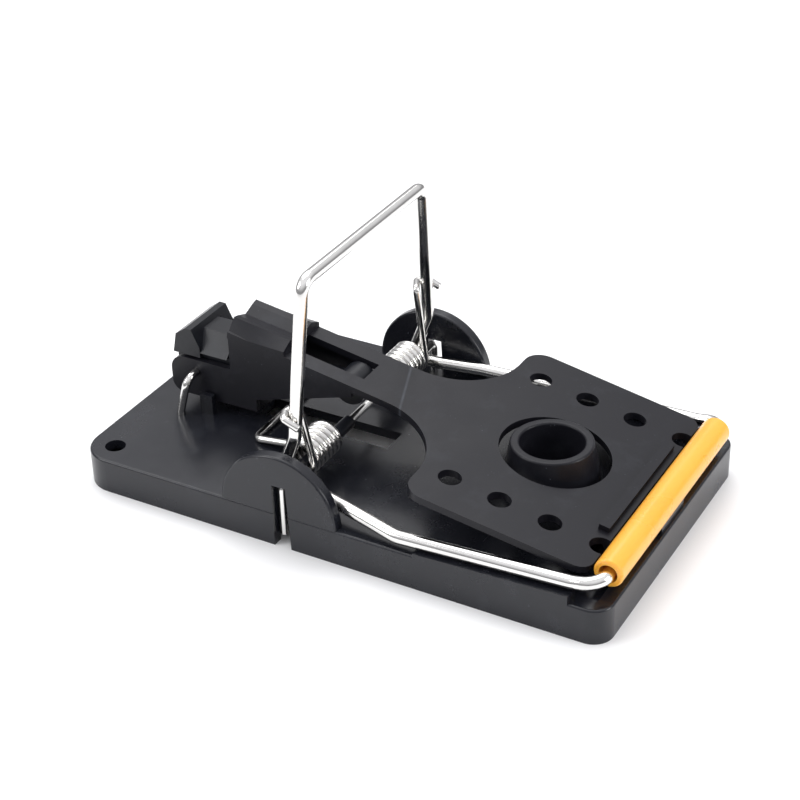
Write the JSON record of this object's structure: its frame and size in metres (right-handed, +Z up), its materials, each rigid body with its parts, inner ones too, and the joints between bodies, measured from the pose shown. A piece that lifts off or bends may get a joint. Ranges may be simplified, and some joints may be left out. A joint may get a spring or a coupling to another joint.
{
  "type": "snap mouse trap",
  "caption": "Snap mouse trap with a moulded base, perforated tilting pedal, bait cup, sprung wire striker and a sleeve on its striking bar.",
  "frame": {"origin": "centre of the base's underside", "axes": "+X to the front, where the striking bar comes down, +Y to the far side, +Z up"},
  "size_m": [0.1406, 0.0788, 0.0659],
  "materials": {
    "base_plastic": "satin",
    "pedal_plastic": "satin",
    "cup_plastic": "satin",
    "catch_plastic": "satin",
    "steel_wire": "bright",
    "spring_wire": "bright",
    "sleeve_plastic": "gloss"
  },
  "bodies": {
    "base": {"base": "base_plastic", "bait_cup": "cup_plastic", "axle_rod": "steel_wire", "axle_sleeve_near": "catch_plastic", "axle_sleeve_far": "catch_plastic", "torsion_spring": "spring_wire", "catch_staple": "spring_wire"},
    "pedal": {"pedal": "pedal_plastic"},
    "catch": {"catch": "catch_plastic"},
    "striker": {"striker": "steel_wire"},
    "grip_sleeve": {"grip_sleeve": "sleeve_plastic"}
  },
  "joints": [
    {"name": "striker_swing", "type": "hinge", "parent": "base", "child": "striker", "pos_m": [-0.012, 0, 0.0157], "axis": [0, 1, 0], "range_deg": [-72, 0], "stiffness_Nm_per_rad": 0.25, "springref_deg": 57.3, "deforming": ["torsion_spring"]},
    {"name": "grip_spin", "type": "hinge", "parent": "striker", "child": "grip_sleeve", "pos_m": [0.0671, 0, 0.0144], "axis": [0, 1, 0], "continuous": true},
    {"name": "pedal_tilt", "type": "hinge", "parent": "base", "child": "pedal", "pos_m": [-0.0548, 0, 0.0193], "axis": [0, 1, 0], "range_deg": [0, 0.7], "stiffness_Nm_per_rad": 0.05, "springref_deg": -28.65},
    {"name": "catch_tilt", "type": "hinge", "parent": "pedal", "child": "catch", "pos_m": [-0.0548, 0, 0.0193], "axis": [0, 1, 0], "range_deg": [-8, 0]}
  ]
}
